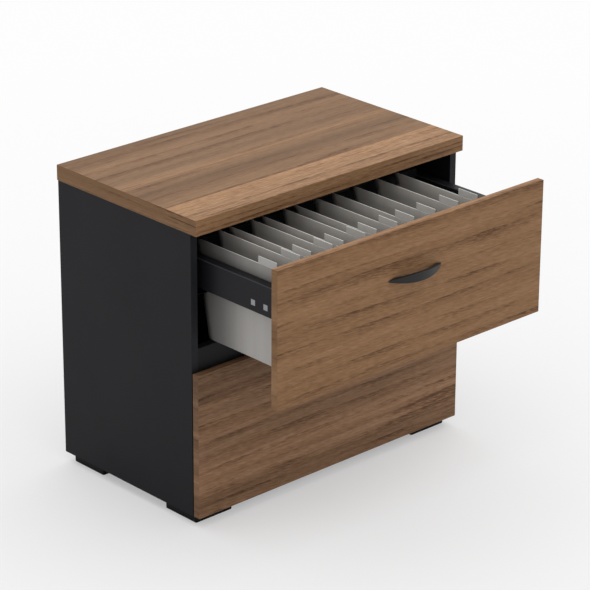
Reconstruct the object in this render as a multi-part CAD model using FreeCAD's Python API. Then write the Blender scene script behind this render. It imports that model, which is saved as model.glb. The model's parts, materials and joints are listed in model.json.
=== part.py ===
import FreeCAD, Part
import os

# Filing cabinet with a wood top, a dark board case and two lateral filing drawers on telescopic runners.
# Millimetres. +X is to the right of someone facing the fronts, +Y is to the back, +Z is up.
# The origin is on the floor, in the middle of the whole object's box with the upper drawer drawn out.

# Top and case boards
top_width = 800.0
top_depth = 465.0
top_thickness = 36.0
top_side_overhang = 1.5
top_back_overhang = 2.0
board = 18.0
case_height = 660.0
back_thickness = 8.0
stretcher_depth = 80.0
stretcher_setback = 45.0
rail_height = 61.0
rail_lap = 8.5
edge_radius = 1.0

# Feet
foot_height = 24.0
foot_width = 106.0
foot_depth = 104.0
foot_side_inset = 13.0
foot_front_inset = 5.0
foot_rear_inset = 15.0
foot_corner_radius = 5.0
foot_edge_radius = 3.0
foot_screw_spacing = 50.0
foot_screw_seat = 8.0
foot_recess_radius = 5.0

# Drawer fronts
front_thickness = 18.0
front_standoff = 2.5
front_proud = 1.0
lower_front_height = 341.0
front_gap = 2.5
under_top_gap = 1.5
upper_opening = 249.0
bumper_radius = 5.0
bumper_inset = 20.0
bumper_clearance = 0.1

# Bow handles
handle_length = 160.0
handle_rise = 9.0
handle_dip = 8.5
handle_tip_height = 3.0
handle_reach = 27.0
finger_gap = 19.5
handle_end_length = 18.0
handle_edge_radius = 1.2
handle_drop = 111.5
handle_screw_share = 0.35

# Steel drawer frames
side_gap = 18.0
side_drop = 66.0
side_height = 67.5
side_sheet = 1.2
side_edge_radius = 2.0
end_plate_sheet = 2.0
rear_clearance = 38.0
frame_back_sheet = 1.5
frame_back_flange = 15.0
window_length = 12.7
window_height = 13.0
window_offsets = (57.3, 95.9)
window_rise = 19.5
adjuster_thickness = 6.0
adjuster_margin = 6.5
adjuster_clearance = 0.1
frame_screw_inset = 4.3
frame_screw_drops = (15.0, 30.0)

# Telescopic runners
bracket_sheet = 2.0
bracket_flange = 40.0
bracket_clearance = 8.0
upright_sheet = 3.0
member_sheet = 1.5
running_clearance = 0.4
adjuster_room = 2.5
inner_room = 2.0
runner_setback = 4.0
runner_tail = 15.0
drawer_member_skirt = 30.0
middle_member_skirt = 32.0
runner_screw_shares = (0.1, 0.5, 0.9)

# Hanging rails and files
file_rail_drop = 48.5
file_rail_height = 36.0
file_rail_sheet = 3.0
front_rail_offset = 14.5
rear_rail_offset = 81.5
hook_depth = 4.0
hook_web = 7.0
hook_overhang = 5.0
hook_clearance = 0.3
bar_thickness = 1.0
card_over_bar = 3.5
card_rail_clearance = 5.0
card_thickness = 2.4
card_end_gap = 6.0
card_taper = 45.0
tab_offset = 40.0
tab_length = 57.0
tab_height = 16.0
tab_thickness = 1.4
file_place_shares = (0.009, 0.104, 0.151, 0.241, 0.288, 0.383, 0.433, 0.525, 0.599, 0.695, 0.799, 0.889)

# Fasteners
screw_radius = 2.0
screw_bite = 12.0
handle_screw_bite = 4.5
dowel_radius = 4.0
dowel_side_depth = 12.0
dowel_board_depth = 20.0
cam_radius = 7.5
cam_depth = 12.5
cam_inset = 34.0
cam_bolt_radius = 3.0
cam_bolt_bite = 10.0
fit_clearance = 0.05
bottom_dowel_shares = (0.12, 0.5, 0.88)
bottom_cam_shares = (0.3, 0.7)
stretcher_dowel_shares = (0.25,)
stretcher_cam_shares = (0.7,)
rail_dowel_shares = (0.25, 0.75)
top_screw_shares = (0.1, 0.5, 0.9)
back_screw_shares = (0.08, 0.29, 0.5, 0.71, 0.92)

# Places worked out from the sizes above
case_width = top_width - 2 * top_side_overhang
inner_half = case_width / 2 - board
case_depth = top_depth - top_back_overhang - front_thickness - front_standoff + front_proud
case_bottom = foot_height
case_top = case_bottom + case_height
overall_depth = (top_back_overhang + case_depth + front_standoff + front_thickness
                 + upper_opening + handle_reach)
top_back_y = overall_depth / 2
case_back_y = top_back_y - top_back_overhang
inside_back_y = case_back_y - back_thickness
case_front_y = case_back_y - case_depth

upper_front_height = case_height - lower_front_height - front_gap - under_top_gap
lower_front_top = case_bottom + lower_front_height
upper_front_top = case_top - under_top_gap
rail_low = lower_front_top - rail_lap
rail_high = rail_low + rail_height

# Distances in from a case side's inner face, across the hollow drawer side and its runner
cavity_in = side_gap + side_sheet
member_pitch = running_clearance + member_sheet
runner_half = upright_sheet / 2 + 2 * member_pitch
runner_mid_in = cavity_in + adjuster_thickness + adjuster_room + runner_half
cavity_end_in = runner_mid_in + runner_half + inner_room
side_end_in = cavity_end_in + side_sheet
frame_half = inner_half - side_end_in
side_length = case_depth - back_thickness - rear_clearance + front_standoff
runner_length = side_length - runner_setback - front_standoff - runner_tail

sides = ((-1, "left"), (1, "right"))
to_front = FreeCAD.Vector(0, -1, 0)
to_up = FreeCAD.Vector(0, 0, 1)

pieces = {}
rooms = {}


def add(node, *solids):
    """Put solids in a node."""
    pieces.setdefault(node, []).extend(solids)


def drill(cutter, *nodes):
    """Note room to be cut out of each named node."""
    for node in nodes:
        rooms.setdefault(node, []).append(cutter)


def point(x, y, z):
    return FreeCAD.Vector(x, y, z)


def block(x_low, x_high, y_low, y_high, z_low, z_high):
    """Box between two corners."""
    return Part.makeBox(x_high - x_low, y_high - y_low, z_high - z_low, point(x_low, y_low, z_low))


def side_block(side, in_low, in_high, y_low, y_high, z_low, z_high):
    """Box placed by its distances in from a case side's inner face."""
    x_low, x_high = sorted((side * (inner_half - in_low), side * (inner_half - in_high)))
    return block(x_low, x_high, y_low, y_high, z_low, z_high)


def upright_edges(shape):
    """Edges that run straight up."""
    return [edge for edge in shape.Edges if abs(edge.tangentAt(edge.FirstParameter).z) > 0.99]


def edges_at_height(shape, z):
    """Edges that lie level at a height."""
    return [edge for edge in shape.Edges
            if abs(edge.BoundBox.ZMin - z) < fit_clearance and abs(edge.BoundBox.ZMax - z) < fit_clearance]


def screw(start, direction, length, clearance=0.0):
    """Countersunk screw with its flat head at start; with a clearance, the room that it needs."""
    radius = screw_radius + clearance
    sink = point(start.x, start.y, start.z) + direction * screw_radius
    head = Part.makeCone(2 * screw_radius + clearance, radius, screw_radius, start, direction)
    shank = Part.makeCylinder(radius, length - screw_radius + clearance, sink, direction)
    return head.fuse(shank).removeSplitter()


def fasten(group, start, direction, length, *nodes):
    """Add a screw to a group, and its room to the pieces that it joins."""
    add(group, screw(start, direction, length))
    drill(screw(start, direction, length, fit_clearance), *nodes)


def peg(group, start, direction, radius, length, *nodes, deeper=0.0):
    """Add a round peg to a group, and its room, which may go deeper, to the pieces that it joins."""
    add(group, Part.makeCylinder(radius, length, start, direction))
    drill(Part.makeCylinder(radius + fit_clearance, length + deeper, start, direction), *nodes)


def dowel(board_node, side, name, y, z):
    """Dowel between a case side and the end of a board."""
    start = point(side * (inner_half + dowel_side_depth), y, z)
    length = dowel_side_depth + dowel_board_depth
    peg("case_dowels", start, point(-side, 0, 0), dowel_radius, length, board_node, f"side_panel_{name}")


def cam_fitting(board_node, side, name, y, underside_z):
    """Bolt out of a case side, and the cam in the board's underside that draws it tight."""
    bolt_start = point(side * (inner_half + cam_bolt_bite), y, underside_z + board / 2)
    bolt_length = cam_bolt_bite + cam_inset - cam_radius - fit_clearance
    peg("cam_fittings", bolt_start, point(-side, 0, 0), cam_bolt_radius, bolt_length,
        board_node, f"side_panel_{name}", deeper=cam_radius)
    cam_start = point(side * (inner_half - cam_inset), y, underside_z)
    peg("cam_fittings", cam_start, to_up, cam_radius, cam_depth, board_node)


def level_board(node, y_low, y_high, z_low, dowel_shares, cam_shares):
    """Level board between the case sides, with its dowels and cams."""
    add(node, block(-inner_half, inner_half, y_low, y_high, z_low, z_low + board))
    for side, name in sides:
        for share in dowel_shares:
            dowel(node, side, name, y_low + share * (y_high - y_low), z_low + board / 2)
        for share in cam_shares:
            cam_fitting(node, side, name, y_low + share * (y_high - y_low), z_low)


def across(share, half_width):
    """Place along X at a share of a width centred on the cabinet."""
    return (2 * share - 1) * half_width


def make_case():
    """Top, sides, bottom, back, the rail between the drawers and the stretchers under the top."""
    top = block(-top_width / 2, top_width / 2, top_back_y - top_depth, top_back_y,
                case_top, case_top + top_thickness)
    add("top_panel", top.makeFillet(edge_radius, top.Edges))
    for side, name in sides:
        add(f"side_panel_{name}",
            side_block(side, -board, 0, case_front_y, case_back_y, case_bottom, case_top))
    add("back_panel", block(-inner_half, inner_half, inside_back_y, case_back_y, case_bottom, case_top))
    level_board("bottom_panel", case_front_y, inside_back_y, case_bottom,
                bottom_dowel_shares, bottom_cam_shares)

    stretcher_z = case_top - board
    front_edge_y = case_front_y + stretcher_setback
    level_board("top_front_stretcher", front_edge_y, front_edge_y + stretcher_depth, stretcher_z,
                stretcher_dowel_shares, stretcher_cam_shares)
    level_board("top_rear_stretcher", inside_back_y - stretcher_depth, inside_back_y, stretcher_z,
                stretcher_dowel_shares, stretcher_cam_shares)
    for node, mid_y in (("top_front_stretcher", front_edge_y + stretcher_depth / 2),
                        ("top_rear_stretcher", inside_back_y - stretcher_depth / 2)):
        for share in top_screw_shares:
            fasten("top_panel_screws", point(across(share, inner_half), mid_y, stretcher_z), to_up,
                   board + screw_bite, node, "top_panel")

    for node, z in (("bottom_panel", case_bottom + board / 2), ("top_rear_stretcher", case_top - board / 2)):
        for share in back_screw_shares:
            fasten("back_panel_screws", point(across(share, inner_half), case_back_y, z), to_front,
                   back_thickness + screw_bite, "back_panel", node)

    add("middle_rail", block(-inner_half, inner_half, case_front_y, case_front_y + board, rail_low, rail_high))
    for side, name in sides:
        for share in rail_dowel_shares:
            dowel("middle_rail", side, name, case_front_y + board / 2, rail_low + share * rail_height)


def make_feet():
    """Four low pads under the corners, screwed up into the bottom board."""
    front_y = case_front_y + foot_front_inset
    rear_y = case_back_y - foot_rear_inset - foot_depth
    for place, y_low in (("front", front_y), ("rear", rear_y)):
        for side, name in sides:
            node = f"foot_{place}_{name}"
            in_low = foot_side_inset - board
            pad = side_block(side, in_low, in_low + foot_width, y_low, y_low + foot_depth, 0, foot_height)
            pad = pad.makeFillet(foot_corner_radius, upright_edges(pad))
            add(node, pad.makeFillet(foot_edge_radius, edges_at_height(pad, 0)))
            mid_x = side * (inner_half - in_low - foot_width / 2)
            for step in (-1, 1):
                x = mid_x + step * foot_screw_spacing / 2
                y = y_low + foot_depth / 2
                drill(Part.makeCylinder(foot_recess_radius, foot_screw_seat, point(x, y, 0), to_up), node)
                fasten("foot_screws", point(x, y, foot_screw_seat), to_up,
                       foot_height - foot_screw_seat + screw_bite, node, "bottom_panel")


def saddle(side, level, y_low, top_z, skirt):
    """Runner member that straddles the one inside it; level 1 is the middle member, 2 the drawer's."""
    half = upright_sheet / 2 + level * member_pitch
    low, high = runner_mid_in - half, runner_mid_in + half
    y_high = y_low + runner_length
    body = side_block(side, low, high, y_low, y_high, top_z - skirt, top_z)
    hollow = side_block(side, low + member_sheet, high - member_sheet, y_low, y_high,
                        top_z - skirt, top_z - member_sheet)
    return body.cut(hollow)


def make_runners(drawer, front_top, opening):
    """Case, middle and drawer members on both sides; the middle one travels half as far as the drawer."""
    side_top = front_top - side_drop
    side_bottom = side_top - side_height
    drawer_member_top = side_top - side_sheet
    middle_top = drawer_member_top - member_pitch
    upright_top = middle_top - member_pitch
    web_high = side_bottom - bracket_clearance
    web_low = web_high - bracket_sheet
    start_y = case_front_y + runner_setback
    end_y = start_y + runner_length
    upright_in = runner_mid_in - upright_sheet / 2
    upright_end_in = runner_mid_in + upright_sheet / 2
    for side, name in sides:
        node = f"{drawer}_case_runner_{name}"
        flange = side_block(side, 0, bracket_sheet, start_y, end_y, web_low, web_low + bracket_flange)
        web = side_block(side, 0, upright_end_in, start_y, end_y, web_low, web_high)
        upright = side_block(side, upright_in, upright_end_in, start_y, end_y, web_low, upright_top)
        add(node, flange.fuse([web, upright]).removeSplitter())
        for share in runner_screw_shares:
            start = point(side * (inner_half - bracket_sheet), start_y + share * runner_length,
                          web_low + bracket_flange / 2)
            fasten("runner_screws", start, point(side, 0, 0), bracket_sheet + screw_bite,
                   node, f"side_panel_{name}")
        add(f"{drawer}_middle_runners",
            saddle(side, 1, start_y - opening / 2, middle_top, middle_member_skirt))
        add(f"{drawer}_drawer_runners",
            saddle(side, 2, start_y - opening, drawer_member_top, drawer_member_skirt))


def bow_handle(face_y, tip_z):
    """Bow that stands off the front, tallest in its middle and drawn out to low tips."""
    half = handle_length / 2
    inner_half_length = half - handle_end_length
    tip_top, tip_bottom = tip_z + handle_tip_height / 2, tip_z - handle_tip_height / 2
    z_low, z_high = tip_bottom - handle_dip, tip_top + handle_rise
    left, right = point(-half, face_y, z_low), point(half, face_y, z_low)
    inner_left = point(-inner_half_length, face_y, z_low)
    inner_right = point(inner_half_length, face_y, z_low)
    outer = Part.Arc(left, point(0, face_y - handle_reach, z_low), right)
    inner = Part.Arc(inner_right, point(0, face_y - finger_gap, z_low), inner_left)
    plan = Part.Wire([outer.toShape(), Part.LineSegment(right, inner_right).toShape(),
                      inner.toShape(), Part.LineSegment(inner_left, left).toShape()])
    bow = Part.Face(plan).extrude(to_up * (z_high - z_low))

    tips = [point(-half, face_y, tip_top), point(half, face_y, tip_top),
            point(half, face_y, tip_bottom), point(-half, face_y, tip_bottom)]
    upper = Part.Arc(tips[0], point(0, face_y, z_high), tips[1])
    lower = Part.Arc(tips[2], point(0, face_y, z_low), tips[3])
    elevation = Part.Wire([upper.toShape(), Part.LineSegment(tips[1], tips[2]).toShape(),
                           lower.toShape(), Part.LineSegment(tips[3], tips[0]).toShape()])
    bow = bow.common(Part.Face(elevation).extrude(to_front * handle_reach))
    return bow.makeFillet(handle_edge_radius, [edge for edge in bow.Edges if edge.Length > half])


def make_front(drawer, z_low, z_high, opening):
    """Wood front with its bow handle, bumpers and the screws of the handle."""
    back_y = case_front_y - front_standoff - opening
    face_y = back_y - front_thickness
    panel = block(-case_width / 2, case_width / 2, face_y, back_y, z_low, z_high)
    add(f"{drawer}_front", panel.makeFillet(edge_radius, panel.Edges))
    handle_z = z_high - handle_drop
    add(f"{drawer}_handle", bow_handle(face_y, handle_z))
    screw_x = handle_length / 2 - handle_end_length * (1 - handle_screw_share)
    for side, name in sides:
        fasten(f"{drawer}_front_screws", point(side * screw_x, back_y, handle_z), to_front,
               front_thickness + handle_screw_bite, f"{drawer}_front", f"{drawer}_handle")
        for z in (z_low + bumper_inset, z_high - bumper_inset):
            centre = point(side * (inner_half + board / 2), back_y, z)
            add(f"{drawer}_bumpers", Part.makeCylinder(bumper_radius, front_standoff - bumper_clearance,
                                                       centre, to_front * -1))


def make_frame(drawer, front_top, opening):
    """Hollow steel sides, the back, the two hanging rails, and the adjusters of the front."""
    front_y = case_front_y - front_standoff - opening
    rear_y = front_y + side_length
    side_top = front_top - side_drop
    side_bottom = side_top - side_height
    window_z = side_bottom + window_rise
    for side, name in sides:
        node = f"{drawer}_drawer_side_{name}"
        shell = side_block(side, side_gap, side_end_in, front_y, rear_y, side_bottom, side_top)
        bends = [edge for edge in edges_at_height(shell, side_top)
                 if edge.BoundBox.YLength > side_length / 2]
        shell = shell.makeFillet(side_edge_radius, bends)
        hollow = side_block(side, cavity_in, cavity_end_in, front_y + end_plate_sheet, rear_y,
                            side_bottom, side_top - side_sheet)
        add(node, shell.cut(hollow))

        block_low = front_y + min(window_offsets) - window_length / 2 - adjuster_margin
        block_high = front_y + max(window_offsets) + window_length / 2 + adjuster_margin
        block_half = window_height / 2 + adjuster_margin
        adjuster = side_block(side, cavity_in, cavity_in + adjuster_thickness, block_low, block_high,
                              window_z - block_half, window_z + block_half)
        buttons = []
        for offset in window_offsets:
            y = front_y + offset
            reach_y, reach_z = window_length / 2, window_height / 2
            drill(side_block(side, side_gap, cavity_in, y - reach_y, y + reach_y,
                             window_z - reach_z, window_z + reach_z), node)
            reach_y, reach_z = reach_y - adjuster_clearance, reach_z - adjuster_clearance
            buttons.append(side_block(side, side_gap, cavity_in, y - reach_y, y + reach_y,
                                      window_z - reach_z, window_z + reach_z))
        add(f"{drawer}_front_adjusters", adjuster.fuse(buttons).removeSplitter())

        for drop in frame_screw_drops:
            start = point(side * (inner_half - cavity_in - frame_screw_inset), front_y + end_plate_sheet,
                          side_top - drop)
            fasten(f"{drawer}_front_screws", start, to_front, end_plate_sheet + screw_bite,
                   node, f"{drawer}_front")

    plate = block(-frame_half, frame_half, rear_y - frame_back_sheet, rear_y, side_bottom, side_top)
    flange = block(-frame_half, frame_half, rear_y - frame_back_flange, rear_y,
                   side_top - frame_back_sheet, side_top)
    add(f"{drawer}_drawer_back", plate.fuse(flange).removeSplitter())

    rail_top = front_top - file_rail_drop
    for place, y in zip(("front", "rear"), rail_places(front_y)):
        add(f"{drawer}_file_rail_{place}",
            block(-frame_half, frame_half, y - file_rail_sheet / 2, y + file_rail_sheet / 2,
                  rail_top - file_rail_height, rail_top))


def rail_places(front_y):
    """Middles of the front and rear hanging rails, behind a front's back face."""
    return front_y + front_rail_offset, front_y + side_length - rear_rail_offset


def make_files(front_top, opening):
    """Closed hanging files: a tapered card that clears the rail, a steel bar in its top, an index tab."""
    front_y = case_front_y - front_standoff - opening
    rail_y = rail_places(front_y)
    rail_top = front_top - file_rail_drop
    card_low = rail_high + card_rail_clearance
    card_high = rail_top + hook_web + card_over_bar
    card_front, card_rear = rail_y[0] + card_end_gap, rail_y[1] - card_end_gap
    tab_low = rail_y[0] + tab_offset
    for number, share in enumerate(file_place_shares, start=1):
        x = across(share, frame_half)
        bar = block(x - bar_thickness / 2, x + bar_thickness / 2, rail_y[0] - hook_overhang,
                    rail_y[1] + hook_overhang, rail_top - hook_depth, rail_top + hook_web)
        notch_half = file_rail_sheet / 2 + hook_clearance
        for y in rail_y:
            bar = bar.cut(block(x - bar_thickness, x + bar_thickness, y - notch_half, y + notch_half,
                                rail_top - hook_depth, rail_top))
        add("hanging_bars", bar)

        card_x = x - card_thickness / 2
        corners = [point(card_x, card_front, card_high), point(card_x, card_rear, card_high),
                   point(card_x, card_rear - card_taper, card_low),
                   point(card_x, card_front + card_taper, card_low)]
        card = Part.Face(Part.makePolygon(corners + corners[:1])).extrude(point(card_thickness, 0, 0))
        add(f"hanging_file_{number:02d}", card.cut(bar))
        add("index_tabs", block(x - tab_thickness / 2, x + tab_thickness / 2, tab_low, tab_low + tab_length,
                                card_high, card_high + tab_height))


def write_parts():
    """Cut the noted rooms, then write one file per node."""
    os.makedirs("parts", exist_ok=True)
    for node, solids in pieces.items():
        if node in rooms:
            solids = [solid.cut(rooms[node]) for solid in solids]
        shape = Part.makeCompound(solids) if len(solids) > 1 else solids[0]
        shape.exportStep(f"parts/{node}.step")
        print(node, len(shape.Solids), "valid" if shape.isValid() else "NOT VALID", round(shape.Volume))
    print(len(pieces), "nodes")


make_case()
make_feet()
for drawer, z_low, z_high, opening in (
        ("upper", lower_front_top + front_gap, upper_front_top, upper_opening),
        ("lower", case_bottom, lower_front_top, 0.0)):
    make_front(drawer, z_low, z_high, opening)
    make_frame(drawer, z_high, opening)
    make_runners(drawer, z_high, opening)
make_files(upper_front_top, upper_opening)
write_parts()
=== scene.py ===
# %% [markdown]
# # A filing cabinet with a walnut top and one drawer drawn out
# The cabinet arrives here already built and measured as solids. This lesson dresses it: every board, sheet
# and rail gets a finish, each screw gets a cross in its head, the hanging files become folded card, and a
# camera, light and a floor are set up. The solids could be copied and remodelled, but a fixed frame is safer:
# nothing in it moves or changes size, and each piece that we add rides on one of its bodies, so it follows a
# drawer when the drawer slides. A new Blender file brings its own cube, lamp and camera, so the first cell
# clears them away.

# %% Load the cabinet
import json
import math
import random

import bmesh
import bpy
from mathutils import Matrix, Vector

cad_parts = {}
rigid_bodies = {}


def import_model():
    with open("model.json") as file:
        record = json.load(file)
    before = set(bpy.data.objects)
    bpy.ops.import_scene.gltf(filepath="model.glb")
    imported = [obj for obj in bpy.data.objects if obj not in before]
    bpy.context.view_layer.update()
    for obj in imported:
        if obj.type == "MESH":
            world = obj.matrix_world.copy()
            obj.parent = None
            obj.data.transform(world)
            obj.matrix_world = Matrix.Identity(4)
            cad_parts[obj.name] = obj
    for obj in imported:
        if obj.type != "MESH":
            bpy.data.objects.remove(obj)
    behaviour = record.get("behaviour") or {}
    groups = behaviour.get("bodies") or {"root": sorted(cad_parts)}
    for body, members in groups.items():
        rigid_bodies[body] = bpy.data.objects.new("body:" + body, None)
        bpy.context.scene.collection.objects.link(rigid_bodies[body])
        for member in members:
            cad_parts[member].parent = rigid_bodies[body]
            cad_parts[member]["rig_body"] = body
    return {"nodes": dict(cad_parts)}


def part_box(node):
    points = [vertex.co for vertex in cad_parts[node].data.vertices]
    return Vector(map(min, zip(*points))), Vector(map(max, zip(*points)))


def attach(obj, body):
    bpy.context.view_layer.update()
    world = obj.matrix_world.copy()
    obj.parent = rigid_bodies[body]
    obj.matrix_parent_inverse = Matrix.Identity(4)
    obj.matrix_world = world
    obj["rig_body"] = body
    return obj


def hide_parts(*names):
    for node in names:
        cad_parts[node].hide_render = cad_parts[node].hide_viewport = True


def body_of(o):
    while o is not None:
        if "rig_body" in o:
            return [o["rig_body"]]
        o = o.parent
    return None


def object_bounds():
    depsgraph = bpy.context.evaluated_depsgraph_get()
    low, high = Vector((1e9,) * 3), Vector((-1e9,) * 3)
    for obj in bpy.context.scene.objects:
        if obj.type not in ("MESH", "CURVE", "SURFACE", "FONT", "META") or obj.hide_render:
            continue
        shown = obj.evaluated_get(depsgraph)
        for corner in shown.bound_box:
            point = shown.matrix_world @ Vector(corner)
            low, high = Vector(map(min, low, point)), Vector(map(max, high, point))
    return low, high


for leftover in list(bpy.data.objects):
    bpy.data.objects.remove(leftover, do_unlink=True)
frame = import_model()
cabinet_low, cabinet_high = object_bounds()
cabinet = frame["nodes"]
cabinet_size = cabinet_high - cabinet_low
print(len(cabinet), "solids; width, depth, height:", [round(size, 3) for size in cabinet_size])

# %% [markdown]
# ## The camera
# The picture looks down on the left front corner of the cabinet from about six and a half metres away,
# through a long lens, so that parallel edges stay nearly parallel. A Track To constraint could aim the
# camera, but the picture also leans by a fraction of a degree. So the camera's three axes are worked out from
# the turn, the height angle and the lean, and go into its matrix as they are.

# %% Stand the camera at the picture's angle
camera_place = Vector((-4.0598, -4.3300, 2.8855))
camera_turn = math.radians(-42.951)
camera_rise = math.radians(22.618)
camera_lean = math.radians(0.288)
lens_mm = 175.617

toward_camera = Vector((math.sin(camera_turn) * math.cos(camera_rise),
                        -math.cos(camera_turn) * math.cos(camera_rise), math.sin(camera_rise)))
level_right = Vector((0, 0, 1)).cross(toward_camera).normalized()
level_up = toward_camera.cross(level_right)
camera_right = level_right * math.cos(camera_lean) + level_up * math.sin(camera_lean)
camera_up = level_up * math.cos(camera_lean) - level_right * math.sin(camera_lean)

camera = bpy.data.objects.new("camera", bpy.data.cameras.new("camera"))
bpy.context.scene.collection.objects.link(camera)
camera.data.lens = lens_mm
camera.matrix_world = (Matrix.Translation(camera_place)
                       @ Matrix((camera_right, camera_up, toward_camera)).transposed().to_4x4())
bpy.context.scene.camera = camera
print("camera", round(camera_place.length, 2), "m from the cabinet, lens", camera.data.lens, "mm")

# %% [markdown]
# ## Light
# The studio round the cabinet is white on all sides, and its shadow is only a soft darkening of the floor. A
# ring of lamps could do it, but a pale world that shines evenly is simpler and has no falloff. One wide, soft
# sun adds a little from above, so that level faces are brighter than upright ones. Both together are set so
# that a colour comes out about as it is written. The camera, and mirror-like surfaces, see the world at a
# strength of 1, which is white, whatever its share of the light is.

# %% A helper for shader nodes, and the studio light
def add_node(tree, kind, inputs=None, **settings):
    """Add a node, set its options, and give each listed input a value or a link."""
    node = tree.nodes.new(kind)
    for setting, value in settings.items():
        setattr(node, setting, value)
    for socket, value in (inputs or {}).items():
        if isinstance(value, bpy.types.NodeSocket):
            tree.links.new(value, node.inputs[socket])
        else:
            node.inputs[socket].default_value = value
    return node


def calc(tree, operation, *values):
    """One step of arithmetic on numbers or sockets."""
    return add_node(tree, "ShaderNodeMath", dict(enumerate(values)), operation=operation).outputs[0]


pure_white = (1, 1, 1, 1)
world_light = 0.78
sun_light = 0.95
sun_width = math.radians(110)
toward_sun = Vector((0.42, 0.1, 1.0))

bpy.context.scene.view_settings.view_transform = "Standard"
studio = bpy.data.worlds.new("white_studio")
bpy.context.scene.world = studio
studio.use_nodes = True
rays = add_node(studio.node_tree, "ShaderNodeLightPath").outputs
seen = calc(studio.node_tree, "MAXIMUM", rays["Is Camera Ray"], rays["Is Glossy Ray"])
seen = calc(studio.node_tree, "MAXIMUM", seen, rays["Is Transmission Ray"])
strength = add_node(studio.node_tree, "ShaderNodeMapRange",
                    {"Value": seen, "To Min": world_light, "To Max": 1.0})
background = studio.node_tree.nodes["Background"]
background.inputs["Color"].default_value = pure_white
studio.node_tree.links.new(strength.outputs[0], background.inputs["Strength"])

sun = bpy.data.objects.new("soft_sun", bpy.data.lights.new("soft_sun", "SUN"))
bpy.context.scene.collection.objects.link(sun)
sun.data.energy = sun_light
sun.data.angle = sun_width
sun.rotation_euler = toward_sun.to_track_quat("Z", "Y").to_euler()
print("level white board gets about", round(world_light + sun_light / math.pi, 2), "of full light")

# %% [markdown]
# ## The floor
# The cabinet stands on a pale floor that turns white further off, with no edge in sight. A curved backdrop is
# the studio way, but it would stand in the way of views from behind. A wide disc does as well: near the
# cabinet it is plain matt white that takes the shadow, and further off the camera sees it fade to white. The
# disc is clear from below, so that it never hides the feet.

# %% A wide floor that fades to white
floor_radius = 14.0
floor_sides = 96
floor_drop = 0.0004
floor_colour = (0.90, 0.90, 0.905, 1)
far_white = 0.985
shadow_thinning = 0.37
fade_start = 0.9
fade_end = 3.2

floor_mesh = bpy.data.meshes.new("floor")
disc = bmesh.new()
bmesh.ops.create_circle(disc, cap_ends=True, radius=floor_radius, segments=floor_sides)
disc.to_mesh(floor_mesh)
disc.free()
floor = bpy.data.objects.new("floor", floor_mesh)
floor.location.z = -floor_drop
bpy.context.scene.collection.objects.link(floor)

floor_finish = bpy.data.materials.new("pale_floor")
floor_finish.use_nodes = True
tree = floor_finish.node_tree
tree.nodes.clear()
matt = add_node(tree, "ShaderNodeBsdfDiffuse", {"Color": floor_colour})
white = add_node(tree, "ShaderNodeEmission", {"Color": pure_white, "Strength": far_white})
spot = add_node(tree, "ShaderNodeTexCoord").outputs["Object"]
distance = add_node(tree, "ShaderNodeVectorMath", {0: spot}, operation="LENGTH").outputs["Value"]
fade = add_node(tree, "ShaderNodeMapRange",
                {"Value": distance, "From Min": fade_start, "From Max": fade_end,
                 "To Min": shadow_thinning}, interpolation_type="SMOOTHSTEP").outputs[0]
rays = add_node(tree, "ShaderNodeLightPath").outputs
fade = calc(tree, "MULTIPLY", fade, rays["Is Camera Ray"])
top_side = add_node(tree, "ShaderNodeMixShader", {0: fade, 1: matt.outputs[0], 2: white.outputs[0]})
under_side = add_node(tree, "ShaderNodeBsdfTransparent")
facing_away = add_node(tree, "ShaderNodeNewGeometry").outputs["Backfacing"]
both = add_node(tree, "ShaderNodeMixShader",
                {0: facing_away, 1: top_side.outputs[0], 2: under_side.outputs[0]})
add_node(tree, "ShaderNodeOutputMaterial", {"Surface": both.outputs[0]})
floor_mesh.materials.append(floor_finish)
print("floor", 2 * floor_radius, "m across, white beyond", fade_end, "m")

# %% [markdown]
# ## Walnut
# The top and the drawer fronts are chipboard with a printed walnut face. The print has broad light and dark
# bands, fine fibres, short flecks that slant a little, and long dark year lines that come and go. A scanned
# picture would be quick, but it repeats and smears round the edges. Noise that is stretched along the grain
# never repeats, and one recipe does all three boards. First come small helpers that every finish uses.

# %% Colours from a colour picker, and an empty finish
def picked(red, green, blue):
    """Shader colour from the 0 to 255 numbers that a colour picker shows, by the sRGB curve."""
    shares = [level / 255 for level in (red, green, blue)]
    return [share / 12.92 if share < 0.04045 else ((share + 0.055) / 1.055) ** 2.4 for share in shares] + [1]


def start_finish(name, gloss, metallic=0.0):
    """New material, its node tree and its shader, with the values that are the same all over."""
    finish = bpy.data.materials.new(name)
    finish.use_nodes = True
    shader = finish.node_tree.nodes["Principled BSDF"]
    shader.inputs["Specular IOR Level"].default_value = gloss
    shader.inputs["Metallic"].default_value = metallic
    return finish, finish.node_tree, shader


def blend_colours(tree, how, factor, first, second):
    """Mix two colours, each a value or a socket. Sockets 6, 7 and 2 are a Mix node's colour ones."""
    mix = add_node(tree, "ShaderNodeMix", {0: factor, 6: first, 7: second}, data_type="RGBA", blend_type=how)
    return mix.outputs[2]


def colour_steps(tree, factor, stops):
    """Colour ramp from (place, colour) stops."""
    ramp = add_node(tree, "ShaderNodeValToRGB", {0: factor})
    while len(ramp.color_ramp.elements) < len(stops):
        ramp.color_ramp.elements.new(1.0)
    for element, (place, colour) in zip(ramp.color_ramp.elements, stops):
        element.position = place
        element.color = colour
    return ramp.outputs[0]


def dimmed(tree, colour, light):
    """Colour times a level of light."""
    return add_node(tree, "ShaderNodeVectorMath", {0: colour, "Scale": light}, operation="SCALE").outputs[0]


def shine(tree, shader, value, at_none, at_full):
    """Roughness that goes from one level to another while a value goes from 0 to 1."""
    level = add_node(tree, "ShaderNodeMapRange", {"Value": value, "To Min": at_none, "To Max": at_full})
    tree.links.new(level.outputs[0], shader.inputs["Roughness"])


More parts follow.
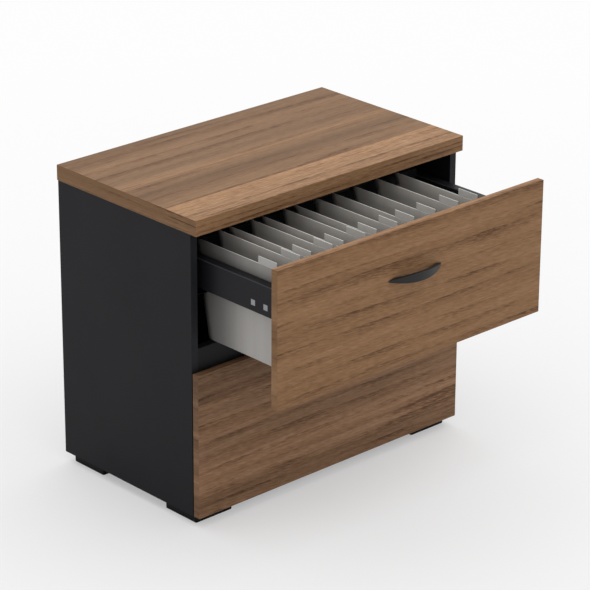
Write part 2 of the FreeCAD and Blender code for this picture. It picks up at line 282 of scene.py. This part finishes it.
def relief(tree, shader, height, strength, depth, sunk=False):
    """Bumps that follow a value, raised or sunk, with a depth in metres."""
    bump = add_node(tree, "ShaderNodeBump", {"Strength": strength, "Distance": depth, "Height": height},
                    invert=sunk)
    tree.links.new(bump.outputs[0], shader.inputs["Normal"])


print("a picked mid brown is", [round(level, 3) for level in picked(131, 96, 66)])

# %% [markdown]
# Each noise in the print is the same texture at another stretch: the first number is how often it changes in
# a metre along the grain, the second how often across it. A Mapping node could do the stretching, but a
# plain multiplication says the same with fewer settings. Blender's noise lies round 0.5, so we take 0.5 away:
# what is left lightens as much as it darkens.

# %% Noise that is drawn out along the grain
noise_middle = 0.5
noise_roughness = 0.6
little_detail, some_detail, much_detail = 1.0, 2.0, 3.0
band_stretch = (0.6, 16.0, 0.0)
fibre_stretch = (9.0, 260.0, 0.0)
fleck_stretch = (42.0, 330.0, 0.0)


def stretched_noise(tree, grain, stretch, detail):
    """Noise drawn out along the grain, as much above 0 as below it."""
    place = add_node(tree, "ShaderNodeVectorMath", {0: grain, 1: stretch}, operation="MULTIPLY").outputs[0]
    noise = add_node(tree, "ShaderNodeTexNoise", {"Vector": place, "Scale": 1.0, "Detail": detail,
                                                  "Roughness": noise_roughness})
    return calc(tree, "SUBTRACT", noise.outputs[0], noise_middle)


def share_between(tree, value, low, high):
    """0 where a value is at low, 1 where it is at high."""
    ends = {"Value": value, "From Min": low, "From Max": high}
    return add_node(tree, "ShaderNodeMapRange", ends).outputs[0]


def swap(tree, share, first, second):
    """First value where the share is 0, second where it is 1."""
    return calc(tree, "MULTIPLY_ADD", calc(tree, "SUBTRACT", second, first), share, first)


def grain_place(tree, along, across):
    """Place on the board as a vector: along the grain, then across it."""
    return add_node(tree, "ShaderNodeCombineXYZ", {0: along, 1: across}).outputs[0]


for streak, stretch in (("band", band_stretch), ("fibre", fibre_stretch), ("fleck", fleck_stretch)):
    print("a", streak, "is about", [round(1 / often, 3) for often in stretch[:2]], "m long and wide")

# %% [markdown]
# A year ring that is cut lengthwise shows as a long dark line: it swells slowly and stops short, where the
# next spring began. Each line could be drawn as a curve. Here the places across the grain are counted off in
# lines instead: the whole part of the count is a line's number, and the rest says how far through the line
# a point is. A noise that is read at that number makes each line come and go along the board.

# %% Year lines
lines_per_metre = 27.0
line_unevenness = 2.2
line_rise, line_peak, line_end = 0.55, 0.93, 0.99
life_stretch = (4.0, 7.3, 0.0)
life_gone, life_full = -0.12, 0.14


def year_lines(tree, along, across):
    """Long dark lines that swell slowly, stop short, and come and go along the board."""
    uneven = stretched_noise(tree, grain_place(tree, along, across), band_stretch, little_detail)
    count = calc(tree, "MULTIPLY", across, lines_per_metre)
    count = calc(tree, "MULTIPLY_ADD", uneven, line_unevenness, count)
    swell = calc(tree, "FRACT", count)
    number = calc(tree, "FLOOR", count)
    line = calc(tree, "MULTIPLY", share_between(tree, swell, line_rise, line_peak),
                share_between(tree, swell, line_end, line_peak))
    life = stretched_noise(tree, grain_place(tree, along, number), life_stretch, little_detail)
    return calc(tree, "MULTIPLY", line, share_between(tree, life, life_gone, life_full))


print("year lines lie about", round(1 / lines_per_metre, 3), "m apart")

# %% [markdown]
# The narrow edges of the top have a glued strip with a print of its own, so there the pattern jumps, is finer
# and runs along the strip. The fronts have their print wrapped round the edges, so the streaks run on round
# the corners. Every face could get its own material and UV map. It is less work to ask in the shader which
# way a face looks, and to choose from that what counts as along and across the grain.

# %% The grain on faces, edges and planks
square_on = 0.7
edge_strip_jump = 3.3
edge_strip_fineness = 2.4
plank_jump = 2.3
front_plank_flecks = 0.8


def lay_grain(tree, place, facing, face_axis, end_axis, wrapped):
    """Places along and across the grain, and whether a point is on an end, or on any edge."""
    on_end = calc(tree, "GREATER_THAN", calc(tree, "ABSOLUTE", facing["X"]), square_on)
    on_edge = calc(tree, "LESS_THAN", calc(tree, "ABSOLUTE", facing[face_axis]), square_on)
    if wrapped:
        along = calc(tree, "MULTIPLY_ADD", on_end, place[face_axis], place["X"])
        across = calc(tree, "ADD", place[end_axis], swap(tree, on_end, place[face_axis], 0.0))
    else:
        along = swap(tree, on_end, place["X"], place[end_axis])
        across = calc(tree, "ADD", swap(tree, on_end, place[end_axis], place["X"]), place[face_axis])
        along = calc(tree, "MULTIPLY_ADD", on_edge, edge_strip_jump, along)
        across = calc(tree, "MULTIPLY", across, swap(tree, on_edge, 1.0, edge_strip_fineness))
    return along, across, on_end, on_edge


def lay_planks(tree, place, on_edge, along, flecking, planks):
    """Grain that jumps at the planks' joints, flecks that are bolder before the first joint, and light.
    Planks are an axis, where they begin and end on it, their joints, and lights at shares of that length."""
    axis, start, end, joints, lights = planks
    share = share_between(tree, place[axis], start, end)
    for joint in joints:
        beyond = calc(tree, "GREATER_THAN", calc(tree, "SUBTRACT", share, on_edge), joint)
        along = calc(tree, "MULTIPLY_ADD", beyond, plank_jump, along)
    for joint in joints[:1]:
        in_front = calc(tree, "LESS_THAN", share, joint)
        flecking = calc(tree, "MULTIPLY_ADD", in_front, front_plank_flecks, flecking)
    brightest = max(level for _, level in lights)
    greys = [(spot, [level / brightest] * 3 + [1]) for spot, level in lights]
    light = calc(tree, "MULTIPLY", colour_steps(tree, share, greys), brightest)
    return along, flecking, light


print("the print jumps by", edge_strip_jump, "m at an edge strip and by", plank_jump, "m at a joint")

# %% [markdown]
# All parts of the print now add up to one number, its tone, and a ramp of four browns turns that into a
# colour. Each part could have a colour of its own, but real wood keeps to one family of browns, and a single
# ramp does too. Dark wood is duller than light wood, and the year lines are pressed into the print.

# %% The walnut recipe
walnut_tones = [(0.10, picked(86, 60, 39)), (0.36, picked(114, 83, 57)),
                (0.55, picked(132, 99, 69)), (0.90, picked(157, 123, 92))]
walnut_gloss = 0.1
wander_stretch = (1.1, 5.0, 0.0)
grain_wander = 0.018
fleck_slant = 0.12
wrapped_end_flecks = 0.5
line_breaking, line_wholeness = 2.2, 0.8
fleck_part, fibre_part, line_part, band_part = 0.62, 0.48, 0.46, 0.75
middle_tone = 0.57
dark_roughness, light_roughness = 0.56, 0.44
press_strength, press_depth = 0.2, 0.0002


def walnut(name, face_axis, end_axis, wrapped=False, rim_painted_light=1.0, end_light=1.0, banding=1.0,
           band_fineness=1.0, flecking=1.0, tint=pure_white, planks=None):
    """Walnut print for a board whose face looks along one axis and whose end edges run along another."""
    finish, tree, shader = start_finish(name, walnut_gloss)
    coordinates = add_node(tree, "ShaderNodeTexCoord").outputs
    place = add_node(tree, "ShaderNodeSeparateXYZ", {0: coordinates["Object"]}).outputs
    facing = add_node(tree, "ShaderNodeSeparateXYZ", {0: coordinates["Normal"]}).outputs
    along, across, on_end, on_edge = lay_grain(tree, place, facing, face_axis, end_axis, wrapped)

    light = 1.0
    if wrapped:
        flecking = swap(tree, on_end, flecking, wrapped_end_flecks * flecking)
    if planks:
        along, flecking, light = lay_planks(tree, place, on_edge, along, flecking, planks)
    # Painted light on the edges: the rim level lightens the rims and the end level darkens the ends, as light
    # falls.
    painted_edge_level = swap(tree, on_end, rim_painted_light, end_light)
    if wrapped:
        light = calc(tree, "MULTIPLY", light, swap(tree, on_edge, 1.0, painted_edge_level))
    else:
        light = swap(tree, on_edge, light, painted_edge_level)

    wander = stretched_noise(tree, grain_place(tree, along, across), wander_stretch, little_detail)
    across = calc(tree, "MULTIPLY_ADD", wander, grain_wander, across)
    grain = grain_place(tree, along, across)
    slanted = grain_place(tree, along, calc(tree, "MULTIPLY_ADD", along, fleck_slant, across))
    bands = stretched_noise(tree, grain, (band_stretch[0], band_stretch[1] * band_fineness, 0.0), some_detail)
    fibres = stretched_noise(tree, grain, fibre_stretch, some_detail)
    flecks = stretched_noise(tree, slanted, fleck_stretch, some_detail)
    broken = calc(tree, "MULTIPLY_ADD", flecks, -line_breaking, line_wholeness)
    lines = calc(tree, "MULTIPLY", year_lines(tree, along, across), broken)

    fine = calc(tree, "MULTIPLY_ADD", flecks, fleck_part, calc(tree, "MULTIPLY", fibres, fibre_part))
    fine = calc(tree, "MULTIPLY_ADD", lines, -line_part, fine)
    tone = calc(tree, "MULTIPLY_ADD", bands, band_part * banding, middle_tone)
    tone = calc(tree, "MULTIPLY_ADD", fine, flecking, tone)
    colour = blend_colours(tree, "MULTIPLY", 1.0, colour_steps(tree, tone, walnut_tones), tint)
    tree.links.new(dimmed(tree, colour, light), shader.inputs["Base Color"])
    shine(tree, shader, tone, dark_roughness, light_roughness)
    relief(tree, shader, lines, press_strength, press_depth, sunk=True)
    return finish


print("walnut runs through", len(walnut_tones), "browns")

# %% [markdown]
# The print on the top shows three planks side by side: a light one along the front edge, with bolder flecks,
# a dark one behind it and a middling one to the back, with a fine dark line before it. They could be three
# meshes, but the real top is one sheet. So a ramp across the depth makes each plank lighter or darker, and
# the grain jumps along at each joint, as it does where a sawn plank meets the next. The lower front has no
# joints, but a ramp up its height gives it light and dark bands: partly print, and partly painted shade,
# darkest along its top, where the upper drawer shades it. Its bluer tint is painted shade as well.

# %% Walnut on the top and on the drawer fronts
def dress(finish, *names):
    """Give solids a finish."""
    for name in names:
        cabinet[name].data.materials.clear()
        cabinet[name].data.materials.append(finish)
    print(finish.name, "on", len(names), "solids")


top_low, top_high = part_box("top_panel")
plank_joints = (0.2095, 0.512)
plank_lights = [(0.0, 1.34), (0.09, 1.33), (0.207, 1.74), (0.2095, 1.00), (0.213, 1.02), (0.30, 1.02),
                (0.42, 0.71), (0.47, 1.06), (0.507, 1.12), (0.512, 0.84), (0.516, 1.24), (0.555, 1.12),
                (0.60, 0.85), (0.68, 0.89), (0.80, 1.06), (1.0, 0.84)]
top_planks = ("Y", top_low.y, top_high.y, plank_joints, plank_lights)
# The rim and end levels below are painted light on the rims and painted shade on the ends of each board.
dress(walnut("walnut_top", "Z", "Y", rim_painted_light=1.1, end_light=0.75, banding=0.7, flecking=0.85,
             planks=top_planks), "top_panel")
dress(walnut("walnut_upper_front", "Y", "Z", wrapped=True, rim_painted_light=1.55, end_light=0.89), "upper_front")

front_low, front_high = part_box("lower_front")
# Light and dark bands up the lower front: partly print, partly painted shade from the upper drawer at the
# top.
front_print_and_painted_shade = [(0.0, 0.98), (0.08, 0.80), (0.17, 1.02), (0.28, 1.22), (0.38, 0.98), (0.49, 0.86),
                (0.58, 1.08), (0.70, 0.84), (0.77, 0.92), (0.87, 0.68), (1.0, 0.68)]
front_bands_with_painted_shade = ("Z", front_low.z, front_high.z, (), front_print_and_painted_shade)
# The bluer tint of the lower front is painted shade, the cool light under the upper drawer.
dress(walnut("walnut_lower_front_painted_shade", "Y", "Z", wrapped=True, rim_painted_light=1.25, end_light=0.80, banding=1.25,
             band_fineness=2.6, flecking=1.1, tint=(0.97, 1.0, 1.13, 1), planks=front_bands_with_painted_shade), "lower_front")

# %% [markdown]
# ## Dark board, steel and plastic
# The case is anthracite melamine: nearly one tone, but with a fine pearled relief that breaks up the light.
# The drawer sides are powder-coated, the feet and handles are moulded or satin-coated, and the adjusters are
# grey plastic. They differ in colour, shine and in how fine their grain is, so one recipe serves them all: a
# fine noise moves colour, roughness and relief together, and a slow one makes large faces drift a little.
# Lighter edges and bends could be painted on by hand; on the bends they are a painted highlight. The recipe
# asks which way a face looks instead.

# %% A recipe for finely grained finishes
mm_per_metre = 1000
slow_part, fine_part = 0.5, 0.5
still_flat, well_bent = 0.97, 0.82
shine_swing = 0.07
grain_strength = 0.3


def fine_grained(name, dark, light, grain_mm, roughness, relief_mm, gloss=0.3, drift=(6.0, 6.0, 6.0),
                 edge_light=None, edge_axis="Y", bend_painted_highlight=None, painted_shading=()):
    """Finish whose colour, shine and relief follow one fine noise, while a slow one lets large faces drift.
    Edges that face along one axis, and rounded bends, may have a lighter colour, a painted highlight on the
    bends. Painted shading lists an axis, the place on it where no shade is painted, the place where the
    painted shade is darkest, and the light that is left there."""
    finish, tree, shader = start_finish(name, gloss)
    coordinates = add_node(tree, "ShaderNodeTexCoord").outputs
    place = add_node(tree, "ShaderNodeSeparateXYZ", {0: coordinates["Object"]}).outputs
    squareness = add_node(tree, "ShaderNodeVectorMath", {0: coordinates["Normal"]}, operation="ABSOLUTE")
    facing = add_node(tree, "ShaderNodeSeparateXYZ", {0: squareness.outputs[0]}).outputs

    fine = add_node(tree, "ShaderNodeTexNoise", {"Vector": coordinates["Object"], "Detail": much_detail,
                                                 "Scale": mm_per_metre / grain_mm}).outputs[0]
    slow = calc(tree, "ADD", stretched_noise(tree, coordinates["Object"], drift, some_detail), noise_middle)
    tone = calc(tree, "MULTIPLY_ADD", slow, slow_part, calc(tree, "MULTIPLY", fine, fine_part))
    colour = blend_colours(tree, "MIX", tone, dark, light)
    if edge_light:
        on_edge = calc(tree, "GREATER_THAN", facing[edge_axis], square_on)
        colour = blend_colours(tree, "MIX", on_edge, colour, edge_light)
    # Painted highlight: bends are lighter where the face turns, standing in for light caught on the bend.
    if bend_painted_highlight:
        most_square = calc(tree, "MAXIMUM", calc(tree, "MAXIMUM", facing["X"], facing["Y"]), facing["Z"])
        on_bend = share_between(tree, most_square, still_flat, well_bent)
        colour = blend_colours(tree, "MIX", on_bend, colour, bend_painted_highlight)
    # Painted shade: the colour is dimmed along an axis, from full light at one place to the light left at
    # another.
    for axis, clean, dull, light_left in painted_shading:
        level = add_node(tree, "ShaderNodeMapRange",
                         {"Value": place[axis], "From Min": clean, "From Max": dull,
                          "To Min": 1.0, "To Max": light_left}, interpolation_type="SMOOTHSTEP").outputs[0]
        colour = dimmed(tree, colour, level)
    tree.links.new(colour, shader.inputs["Base Color"])
    shine(tree, shader, tone, roughness + shine_swing, roughness - shine_swing)
    relief(tree, shader, fine, grain_strength, relief_mm / mm_per_metre)
    return finish


print("one fine noise moves colour, relief and the roughness, by up to", shine_swing, "either way")

# %% [markdown]
# On the side boards, the faces that look forward and back are a lighter grey, which shows beside the drawers.
# The other boards get the plain melamine. The drawer frames are bent from sheet steel, and the light catches
# on their bends. The bends are rounded in the solids already, but they are so narrow that a highlight alone
# is lost, so a painted highlight makes the coat lighter where the face turns.

# %% Case boards and drawer frames
sides = ("left", "right")
drawers = ("upper", "lower")
anthracite = {"dark": picked(21, 21, 24), "light": picked(27, 27, 30), "grain_mm": 0.9, "roughness": 0.5,
              "relief_mm": 0.06, "gloss": 0.12}
dress(fine_grained("anthracite_side", edge_light=picked(33, 34, 37), **anthracite),
      *[f"side_panel_{side}" for side in sides])
dress(fine_grained("anthracite_board", **anthracite),
      "bottom_panel", "back_panel", "middle_rail", "top_front_stretcher", "top_rear_stretcher")

# The lighter bend colour below is a painted highlight on the frames' bends.
coated_steel = fine_grained("coated_dark_steel", picked(16, 16, 19), picked(24, 24, 28), grain_mm=1.4,
                            roughness=0.42, relief_mm=0.05, gloss=0.14, bend_painted_highlight=picked(66, 67, 72))
dress(coated_steel, *[f"{drawer}_{piece}" for drawer in drawers
                      for piece in ("drawer_side_left", "drawer_side_right", "drawer_back",
                                    "file_rail_front", "file_rail_rear")])

# %% [markdown]
# The small parts come from the same recipe. The handles have a smooth satin coat, the feet are a rough black
# plastic that hardly shines, the adjusters are grey and the bumpers milky. At this size a single flat colour
# would nearly do, but it would look like paper as soon as the camera comes close.

# %% Handles, feet and small plastics
handle_coat = fine_grained("satin_handle", picked(28, 27, 27), picked(36, 35, 35), grain_mm=0.8,
                           roughness=0.40, relief_mm=0.03, gloss=0.25)
dress(handle_coat, *[f"{drawer}_handle" for drawer in drawers])
foot_plastic = fine_grained("black_foot", picked(8, 8, 9), picked(15, 15, 16), grain_mm=1.1,
                            roughness=0.55, relief_mm=0.08, gloss=0.15)
dress(foot_plastic, *[f"foot_{place}_{side}" for place in ("front", "rear") for side in sides])
adjuster_plastic = fine_grained("grey_adjuster", picked(134, 136, 139), picked(148, 150, 153), grain_mm=0.9,
                                roughness=0.5, relief_mm=0.03)
dress(adjuster_plastic, *[f"{drawer}_front_adjusters" for drawer in drawers])
bumper_rubber = fine_grained("milky_bumper", picked(196, 200, 202), picked(214, 217, 219), grain_mm=1.6,
                             roughness=0.35, relief_mm=0.02, gloss=0.5)
dress(bumper_rubber, *[f"{drawer}_bumpers" for drawer in drawers])

# %% [markdown]
# ## Bright metal and wood inside the joints
# The runners, screws and file bars are plated with zinc: a metal shader with the faint cells that zinc grows
# as it sets. A photo of plated steel could be wrapped round them, but a Voronoi texture is made of just such
# cells. The dowels are plain beech, a pale cousin of the walnut recipe.

# %% Runners, screws, bars and dowels
zinc_gloss = 0.5
zinc_swing = 0.06
scratches_per_metre = 700.0
scratch_strength, scratch_depth = 0.1, 0.0001
beech_gloss = 0.3
beech_roughness = 0.6
beech_stretch = (30.0, 700.0, 700.0)


def zinc(name, cell_mm, dull, bright, roughness):
    """Plated steel with faint cells of differing brightness."""
    finish, tree, shader = start_finish(name, zinc_gloss, metallic=1.0)
    place = add_node(tree, "ShaderNodeTexCoord").outputs["Object"]
    cells = add_node(tree, "ShaderNodeTexVoronoi", {"Vector": place, "Scale": mm_per_metre / cell_mm})
    level = add_node(tree, "ShaderNodeSeparateColor", {0: cells.outputs["Color"]}).outputs[0]
    tree.links.new(blend_colours(tree, "MIX", level, dull, bright), shader.inputs["Base Color"])
    shine(tree, shader, level, roughness + zinc_swing, roughness - zinc_swing)
    scratches = add_node(tree, "ShaderNodeTexNoise", {"Vector": place, "Scale": scratches_per_metre,
                                                      "Detail": some_detail}).outputs[0]
    relief(tree, shader, scratches, scratch_strength, scratch_depth)
    return finish


def beech(name):
    """Pale wood with short dark flecks along X."""
    finish, tree, shader = start_finish(name, beech_gloss)
    place = add_node(tree, "ShaderNodeTexCoord").outputs["Object"]
    flecks = calc(tree, "ADD", stretched_noise(tree, place, beech_stretch, much_detail), noise_middle)
    colour = blend_colours(tree, "MIX", flecks, picked(176, 136, 92), picked(222, 190, 146))
    tree.links.new(colour, shader.inputs["Base Color"])
    shader.inputs["Roughness"].default_value = beech_roughness
    return finish


# The runners' zinc is drawn far darker than the screws': painted shade for the runners in the dark inside the
# case.
runner_zinc = zinc("painted_shade_runner_zinc", cell_mm=7.0, dull=picked(32, 33, 36), bright=picked(50, 51, 54),
                   roughness=0.38)
dress(runner_zinc, *[f"{drawer}_{piece}" for drawer in drawers
                     for piece in ("case_runner_left", "case_runner_right", "middle_runners",
                                   "drawer_runners")])
screw_zinc = zinc("screw_zinc", cell_mm=1.5, dull=picked(168, 168, 164), bright=picked(204, 203, 198),
                  roughness=0.28)
dress(screw_zinc, "cam_fittings")
bar_steel = zinc("file_bar_steel", cell_mm=4.0, dull=picked(140, 142, 145), bright=picked(176, 178, 181),
                 roughness=0.36)
dress(bar_steel, "hanging_bars")
dress(beech("beech_dowel"), "case_dowels")

# %% [markdown]
# ## Screws
# Each screw is a plain countersunk cone and pin in the solids, but a real one has a cross cut into its head,
# and it shows on the cabinet's back. A Boolean could cut it out of every head. It is cleaner to draw the
# screw with the cross in its outline: rings of points for the rim, neck and tip, a plus sign for the mouth of
# the cross, a smaller one for its pit, and bands of faces between them.

# %% One screw with a cross in its head
head_depth = 0.002
cross_reach = 0.55
cross_half_width = 0.14
cross_depth = 0.0013
pit_reach, pit_width = 0.6, 0.8
round_steps = 28


def ring(mesh, radius, height):
    """Ring of points round the axis."""
    turns = [2 * math.pi * step / round_steps for step in range(round_steps)]
    return [mesh.verts.new((radius * math.cos(turn), radius * math.sin(turn), height)) for turn in turns]


def cross_outline(mesh, reach, half_width, height):
    """Points round a plus sign."""
    quarter = [(reach, -half_width), (reach, half_width), (half_width, half_width)]
    points = []
    for step in range(4):
        turn = Matrix.Rotation(step * math.pi / 2, 2)
        points += [turn @ Vector(corner) for corner in quarter]
    return [mesh.verts.new((spot.x, spot.y, height)) for spot in points]


def band(mesh, first, second, smooth=False):
    """Band of faces between two rows of as many points."""
    for step in range(len(first) - 1):
        face = mesh.faces.new((first[step], first[step + 1], second[step + 1], second[step]))
        face.smooth = smooth


def draw_screw(mesh, head_radius, shank_radius, length, setting):
    """Countersunk screw along -Z from its flat head, moved by its setting."""
    before = set(mesh.verts)
    rim = ring(mesh, head_radius, 0.0)
    neck = ring(mesh, shank_radius, -head_depth)
    tip = ring(mesh, shank_radius, -length)
    mouth = cross_outline(mesh, cross_reach * head_radius, cross_half_width * head_radius, 0.0)
    pit = cross_outline(mesh, pit_reach * cross_reach * head_radius,
                        pit_width * cross_half_width * head_radius, -cross_depth)
    for upper, under in ((rim, neck), (neck, tip), (mouth, pit)):
        band(mesh, upper + upper[:1], under + under[:1])
    mesh.faces.new(tip)
    mesh.faces.new(pit)
    outlines = [mesh.edges.get((loop[step - 1], loop[step]))
                for loop in (rim, mouth) for step in range(len(loop))]
    bmesh.ops.triangle_fill(mesh, edges=outlines, use_beauty=True)
    bmesh.ops.transform(mesh, matrix=setting, verts=[vert for vert in mesh.verts if vert not in before])


print("a screw's cross reaches", cross_reach, "of the way from its middle to the rim")

# %% [markdown]
# Now one such screw goes wherever the solids have one. The places could be typed in, but they would be wrong
# as soon as a board moves. So each is read off the solid: the points of a node that hang together are one
# screw, its longest side is its axis, and its wider end is the head.

# %% Find the screws in the solids
same_place = 1e-6
same_level = 1e-5


def loose_parts(node):
    """Points of each piece of a solid that hangs together."""
    mesh = bmesh.new()
    mesh.from_mesh(cabinet[node].data)
    bmesh.ops.remove_doubles(mesh, verts=mesh.verts, dist=same_place)
    reached, parts = set(), []
    for start in mesh.verts:
        part, edge_of_search = [], {start} - reached
        while edge_of_search:
            reached |= edge_of_search
            part += [vert.co.copy() for vert in edge_of_search]
            edge_of_search = {edge.other_vert(vert) for vert in edge_of_search
                              for edge in vert.link_edges} - reached
        if part:
            parts.append(part)
    mesh.free()
    return parts


def screw_setting(points):
    """Head radius, shank radius, length and placing matrix of a screw from its points."""
    low = Vector([min(spot[axis] for spot in points) for axis in range(3)])
    high = Vector([max(spot[axis] for spot in points) for axis in range(3)])
    size, middle = high - low, (low + high) / 2
    axis = max(range(3), key=lambda each: size[each])
    other = (axis + 1) % 3
    spread = {end: max(abs(spot[other] - middle[other]) for spot in points
                       if abs(spot[axis] - end) < same_level)
              for end in (low[axis], high[axis])}
    head_end = max(spread, key=spread.get)
    outward = Vector((0, 0, 0))
    outward[axis] = 1.0 if head_end == high[axis] else -1.0
    head = middle.copy()
    head[axis] = head_end
    setting = Matrix.Translation(head) @ outward.to_track_quat("Z", "Y").to_matrix().to_4x4()
    return max(spread.values()), min(spread.values()), size[axis], setting


screw_nodes = sorted(name for name in cabinet if name.endswith("_screws"))
print(len(screw_nodes), "solids hold screws")

# %% [markdown]
# All screws of one node become one mesh. Every screw could be an object of its own, which is handy to pick
# but slow to keep in order. The mesh rides on the same body as its node and stands in for it, so the screws
# of a drawer front slide out with the front.

# %% Set a screw wherever the solids have one
def add_piece(name, mesh, finish, body, slot, *nodes):
    """Turn a drawn mesh into a piece that rides on a body and stands for solids."""
    bmesh.ops.recalc_face_normals(mesh, faces=mesh.faces)
    made = bpy.data.meshes.new(name)
    mesh.to_mesh(made)
    mesh.free()
    made.materials.append(finish)
    piece = bpy.data.objects.new(name, made)
    bpy.context.scene.collection.objects.link(piece)
    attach(piece, body)
    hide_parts(*nodes)
    return piece


for node in screw_nodes:
    screws = bmesh.new()
    parts = loose_parts(node)
    for points in parts:
        draw_screw(screws, *screw_setting(points))
    add_piece(f"{node}_cross_head", screws, screw_zinc, body_of(cabinet[node])[0], "screw_steel", node)
    print(node, len(parts), "screws")

# %% [markdown]
# ## Hanging files
# A hanging file is a sheet of light grey card, and its tab is a bit of frosted plastic. Both are matt with a
# faint drift of tone, and their top edges are paler, a painted highlight where the light falls along them.
# The outermost card has painted shade towards the case and towards its top, and its tab has painted shade
# too.
# More lamps could shape that shade, but they would change the rest of the picture, so it is painted in.

# %% Card for the files
card_feel = {"grain_mm": 0.7, "roughness": 0.8, "relief_mm": 0.04, "gloss": 0.2, "drift": (6.0, 38.0, 2.0),
             "edge_axis": "Z"}
# The edge colour of the cards and tabs is a painted highlight on their top edges; the outermost card's is
# brighter to show through its painted shade.
card_grey = fine_grained("file_card", picked(158, 155, 150), picked(188, 185, 180),
                         edge_light=picked(222, 220, 216), **card_feel)
# The outermost card's painted shade darkens it towards the case and towards its top.
shaded_card = fine_grained("painted_shade_file_card", picked(152, 149, 145), picked(182, 179, 175),
                         edge_light=picked(246, 244, 240),
                         painted_shading=(("Y", -0.204, -0.084, 0.42), ("Z", 0.55, 0.615, 0.66)), **card_feel)
# The tabs get painted shade at their left end, where the outermost tab stands.
tab_grey = fine_grained("tab_plastic", picked(194, 192, 188), picked(210, 208, 204), grain_mm=2.0,
                        roughness=0.42, relief_mm=0.02, gloss=0.35, edge_light=picked(240, 238, 234),
                        edge_axis="Z", painted_shading=(("X", -0.28, -0.32, 0.68),))
dress(tab_grey, "index_tabs")

# %% [markdown]
# The card is folded over a steel bar, and its two leaves meet in a fold at the bottom, narrower than the top.
# The solid is a flat plate. A cloth simulation could make the card hang, but stiff card only bows a little,
# so each file is a grid of points per leaf: the top edge is rounded over the bar, the ends slant inwards, and
# the middle bows to one side by a small amount of its own.

# %% Fold a card in the place of each plate
card_taper = 0.045
card_columns = 16
card_rows = 10
edge_round = 0.0007
top_thickness, fold_thickness = 0.45, 0.3
leaf_thinning = 0.3
smallest_bow_share = 0.3
largest_bow = 0.0018
bow_draw = random.Random(12)


def card_levels(height):
    """Depths below the top edge, with the share of full thickness there."""
    even = [edge_round + (height - 2 * edge_round) * row / card_rows for row in range(card_rows + 1)]
    thick = [1.0 - leaf_thinning * row / card_rows for row in range(card_rows + 1)]
    return [(0.0, top_thickness)] + list(zip(even, thick)) + [(height, fold_thickness)]


def folded_card(node, finish):
    """Closed card with a rounded top, slanted ends and a gentle bow, in the place of a plate."""
    low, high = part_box(node)
    middle, half = (low.x + high.x) / 2, (high.x - low.x) / 2
    bow = bow_draw.uniform(smallest_bow_share, 1.0) * largest_bow
    shares = [column / card_columns for column in range(card_columns + 1)]
    mesh = bmesh.new()
    leaves = {-1: [], 1: []}
    for depth, thickness in card_levels(high.z - low.z):
        drop = depth / (high.z - low.z)
        front, rear = low.y + card_taper * drop, high.y - card_taper * drop
        for leaf, rows in leaves.items():
            rows.append([mesh.verts.new((middle + bow * drop * math.sin(math.pi * share)
                                         + leaf * half * thickness,
                                         front + (rear - front) * share, high.z - depth))
                         for share in shares])
    for rows in leaves.values():
        for upper, under in zip(rows, rows[1:]):
            band(mesh, upper, under, smooth=True)
    left, right = leaves[-1], leaves[1]
    for row in (0, -1):
        band(mesh, left[row], right[row])
    for end in (0, -1):
        band(mesh, [row[end] for row in left], [row[end] for row in right])
    return add_piece(f"{node}_card", mesh, finish, "hanging_files", "file_card", node)


plates = [node for node in cabinet if node.startswith("hanging_file_")]
files = sorted(plates, key=lambda node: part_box(node)[0].x)
cards = [folded_card(node, card_grey if node != files[0] else shaded_card) for node in files]
print(len(cards), "folded cards of", len(cards[0].data.polygons), "faces")
